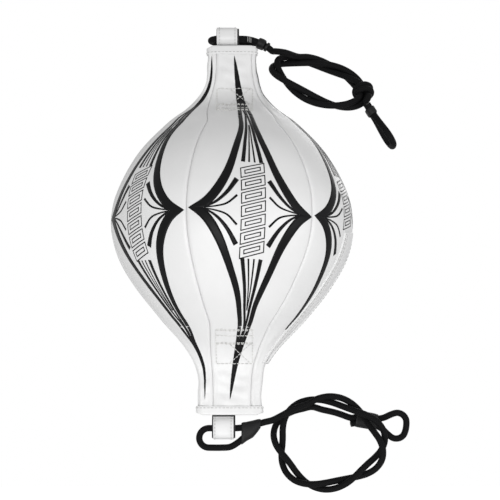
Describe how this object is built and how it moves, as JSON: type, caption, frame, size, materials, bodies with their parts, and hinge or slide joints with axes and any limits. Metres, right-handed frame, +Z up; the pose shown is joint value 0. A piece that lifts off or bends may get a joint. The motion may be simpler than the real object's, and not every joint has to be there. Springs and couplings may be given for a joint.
{
  "type": "double end bag",
  "caption": "Round leather double end punching bag with flattened necks, strap loops and a coiled elastic cord with a hooking eye at each end.",
  "frame": {"origin": "middle of the box that holds the whole object at rest", "axes": "+Z up along the bag's axis, -Y the front face, +X to the right where both cords lie"},
  "size_m": [0.2662, 0.2144, 0.419],
  "materials": {
    "leather": "white coated leather, satin, with a black printed star on each gore",
    "webbing": "black woven webbing",
    "thread": "pale sewing thread",
    "lining": "plain woven cloth",
    "bladder": "matt rubber",
    "cord": "black braided cover over elastic",
    "sleeve": "black shrunk sleeve, satin"
  },
  "bodies": {
    "bag": {"panel_1": "leather", "panel_2": "leather", "panel_3": "leather", "panel_4": "leather", "panel_5": "leather", "panel_6": "leather", "lining": "lining", "bladder": "bladder", "bladder_valve": "bladder", "closure_strip": "leather", "top_binding": "leather", "top_front_tail": "webbing", "top_rear_tail": "webbing", "top_front_stitching": "thread", "top_rear_stitching": "thread", "bottom_binding": "leather", "bottom_front_tail": "webbing", "bottom_rear_tail": "webbing", "bottom_front_stitching": "thread", "bottom_rear_stitching": "thread"},
    "top_loop": {"top_loop_webbing": "webbing", "top_loop_facing": "leather"},
    "top_eye": {"top_strap_eye": "cord", "top_eye_sleeve": "sleeve", "top_eye_whipping": "sleeve"},
    "top_cord": {"top_coil": "cord"},
    "top_free_eye": {"top_end_eye": "cord", "top_end_sleeve": "sleeve"},
    "bottom_loop": {"bottom_loop_webbing": "webbing", "bottom_loop_facing": "leather"},
    "bottom_eye": {"bottom_strap_eye": "cord", "bottom_eye_sleeve": "sleeve"},
    "bottom_cord": {"bottom_coil": "cord"},
    "bottom_free_eye": {"bottom_end_eye": "cord", "bottom_end_sleeve": "sleeve"}
  },
  "joints": [
    {"name": "top_loop_flex", "type": "hinge", "parent": "bag", "child": "top_loop", "pos_m": [-0.02988, 0, 0.19149], "axis": [1, 0, 0], "range_deg": [-20, 28]},
    {"name": "top_eye_swing", "type": "hinge", "parent": "top_loop", "child": "top_eye", "pos_m": [-0.02988, 0, 0.199], "axis": [1, 0, 0], "range_deg": [-8, 180]},
    {"name": "top_cord_flex", "type": "hinge", "parent": "top_eye", "child": "top_cord", "pos_m": [0.01062, 0, 0.18749], "axis": [0, -1, 0], "range_deg": [-5, 60]},
    {"name": "top_end_flex", "type": "hinge", "parent": "top_cord", "child": "top_free_eye", "pos_m": [0.09362, -0.014, 0.1365], "axis": [0, 1, 0], "range_deg": [-35, 35]},
    {"name": "bottom_loop_flex", "type": "hinge", "parent": "bag", "child": "bottom_loop", "pos_m": [-0.03288, 0, -0.1415], "axis": [1, 0, 0], "range_deg": [-25, 25]},
    {"name": "bottom_eye_swing", "type": "hinge", "parent": "bottom_loop", "child": "bottom_eye", "pos_m": [-0.03288, 0, -0.15301], "axis": [1, 0, 0], "range_deg": [-90, 90]},
    {"name": "bottom_cord_flex", "type": "hinge", "parent": "bottom_eye", "child": "bottom_cord", "pos_m": [0.00412, 0, -0.1475], "axis": [0, -1, 0], "range_deg": [-60, 40]},
    {"name": "bottom_end_flex", "type": "hinge", "parent": "bottom_cord", "child": "bottom_free_eye", "pos_m": [0.07812, 0.012, -0.1433], "axis": [0, 1, 0], "range_deg": [-30, 30]}
  ]
}
